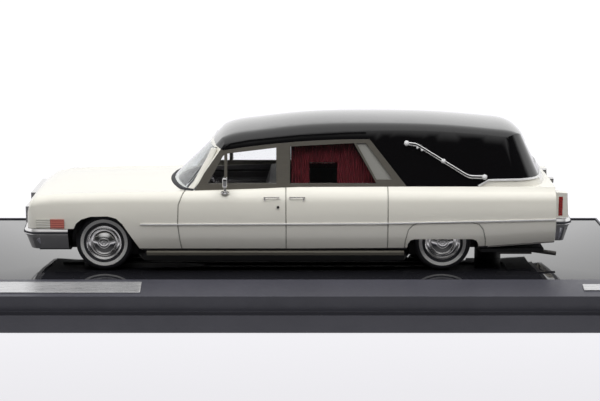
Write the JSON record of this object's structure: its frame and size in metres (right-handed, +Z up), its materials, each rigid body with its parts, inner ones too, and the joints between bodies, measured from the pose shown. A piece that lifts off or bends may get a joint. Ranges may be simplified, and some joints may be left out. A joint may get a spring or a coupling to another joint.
{
  "type": "scale model hearse on a display plinth",
  "caption": "Landau-style hearse scale model with whitewall wheels that turn on steel axles, screwed by two posts to a gloss plinth with a sloped, blank-plated front edge.",
  "frame": {"origin": "centre of the plinth's underside", "axes": "+X towards the front of the car, +Y towards the left side of the car and the sloped front edge of the plinth, +Z up"},
  "size_m": [0.195, 0.0948, 0.0521],
  "materials": {
    "axle_steel": "plain pin",
    "black_plastic": "moulded black",
    "black_rubber": "black",
    "bright_trim": "bright strip",
    "chrome": "plated bright",
    "clear_glazing": "clear",
    "clear_lens": "clear ribbed",
    "curtain_red": "dark red moulded pleats",
    "deck_grey": "grey",
    "exhaust_grey": "dark metallic",
    "gloss_black_base": "polished black",
    "gloss_black_paint": "gloss black",
    "grey_panel": "satin grey",
    "pearl_white_paint": "gloss ivory white",
    "pewter_metal": "dull pewter",
    "plate_metal": "blank, brushed",
    "red_lens": "red",
    "screw_steel": "plated",
    "seat_charcoal": "charcoal",
    "trim_charcoal": "charcoal",
    "tyre_rubber": "black rubber with a white sidewall band"
  },
  "bodies": {
    "root": {"body_shell": "pearl_white_paint", "bumper_strips": "black_rubber", "cabin_floor": "trim_charcoal", "casket_deck": "deck_grey", "chassis_plate": "black_plastic", "cornering_lenses": "clear_lens", "curtains": "curtain_red", "dashboard": "trim_charcoal", "door_cards": "trim_charcoal", "door_glass": "clear_glazing", "door_handles": "chrome", "door_mirrors": "chrome", "drip_rails": "gloss_black_paint", "exhaust": "exhaust_grey", "fixing_screws": "screw_steel", "front_bumper": "chrome", "front_seat": "seat_charcoal", "grille": "chrome", "headlamp_bezels": "chrome", "headlamp_lenses": "clear_lens", "landau_bars": "chrome", "left_window_frames": "pewter_metal", "marker_lenses": "red_lens", "name_plate": "plate_metal", "number_plate": "plate_metal", "partition": "trim_charcoal", "plinth": "gloss_black_base", "quarter_panels": "grey_panel", "rear_beading": "bright_trim", "rear_bumper": "chrome", "right_window_frames": "pewter_metal", "rocker_trims": "bright_trim", "roof_shell": "gloss_black_paint", "side_spears": "bright_trim", "steering_wheel": "chrome", "tail_lamp_housings": "chrome", "tail_lamp_lenses": "red_lens", "tailgate_glass": "clear_glazing", "tailgate_lamps": "chrome", "windscreen": "clear_glazing", "windscreen_frame": "chrome", "windscreen_gasket": "black_rubber"},
    "front_axle": {"front_axle_pin": "axle_steel", "front_left_tyre": "tyre_rubber", "front_left_wheel": "chrome", "front_right_tyre": "tyre_rubber", "front_right_wheel": "chrome"},
    "rear_axle": {"rear_axle_pin": "axle_steel", "rear_left_tyre": "tyre_rubber", "rear_left_wheel": "chrome", "rear_right_tyre": "tyre_rubber", "rear_right_wheel": "chrome"}
  },
  "joints": [
    {"name": "front_axle_turn", "type": "hinge", "parent": "root", "child": "front_axle", "pos_m": [0.0523, 0.00685, 0.01915], "axis": [0, 1, 0], "continuous": true},
    {"name": "rear_axle_turn", "type": "hinge", "parent": "root", "child": "rear_axle", "pos_m": [-0.0396, 0.00685, 0.01915], "axis": [0, 1, 0], "continuous": true}
  ]
}
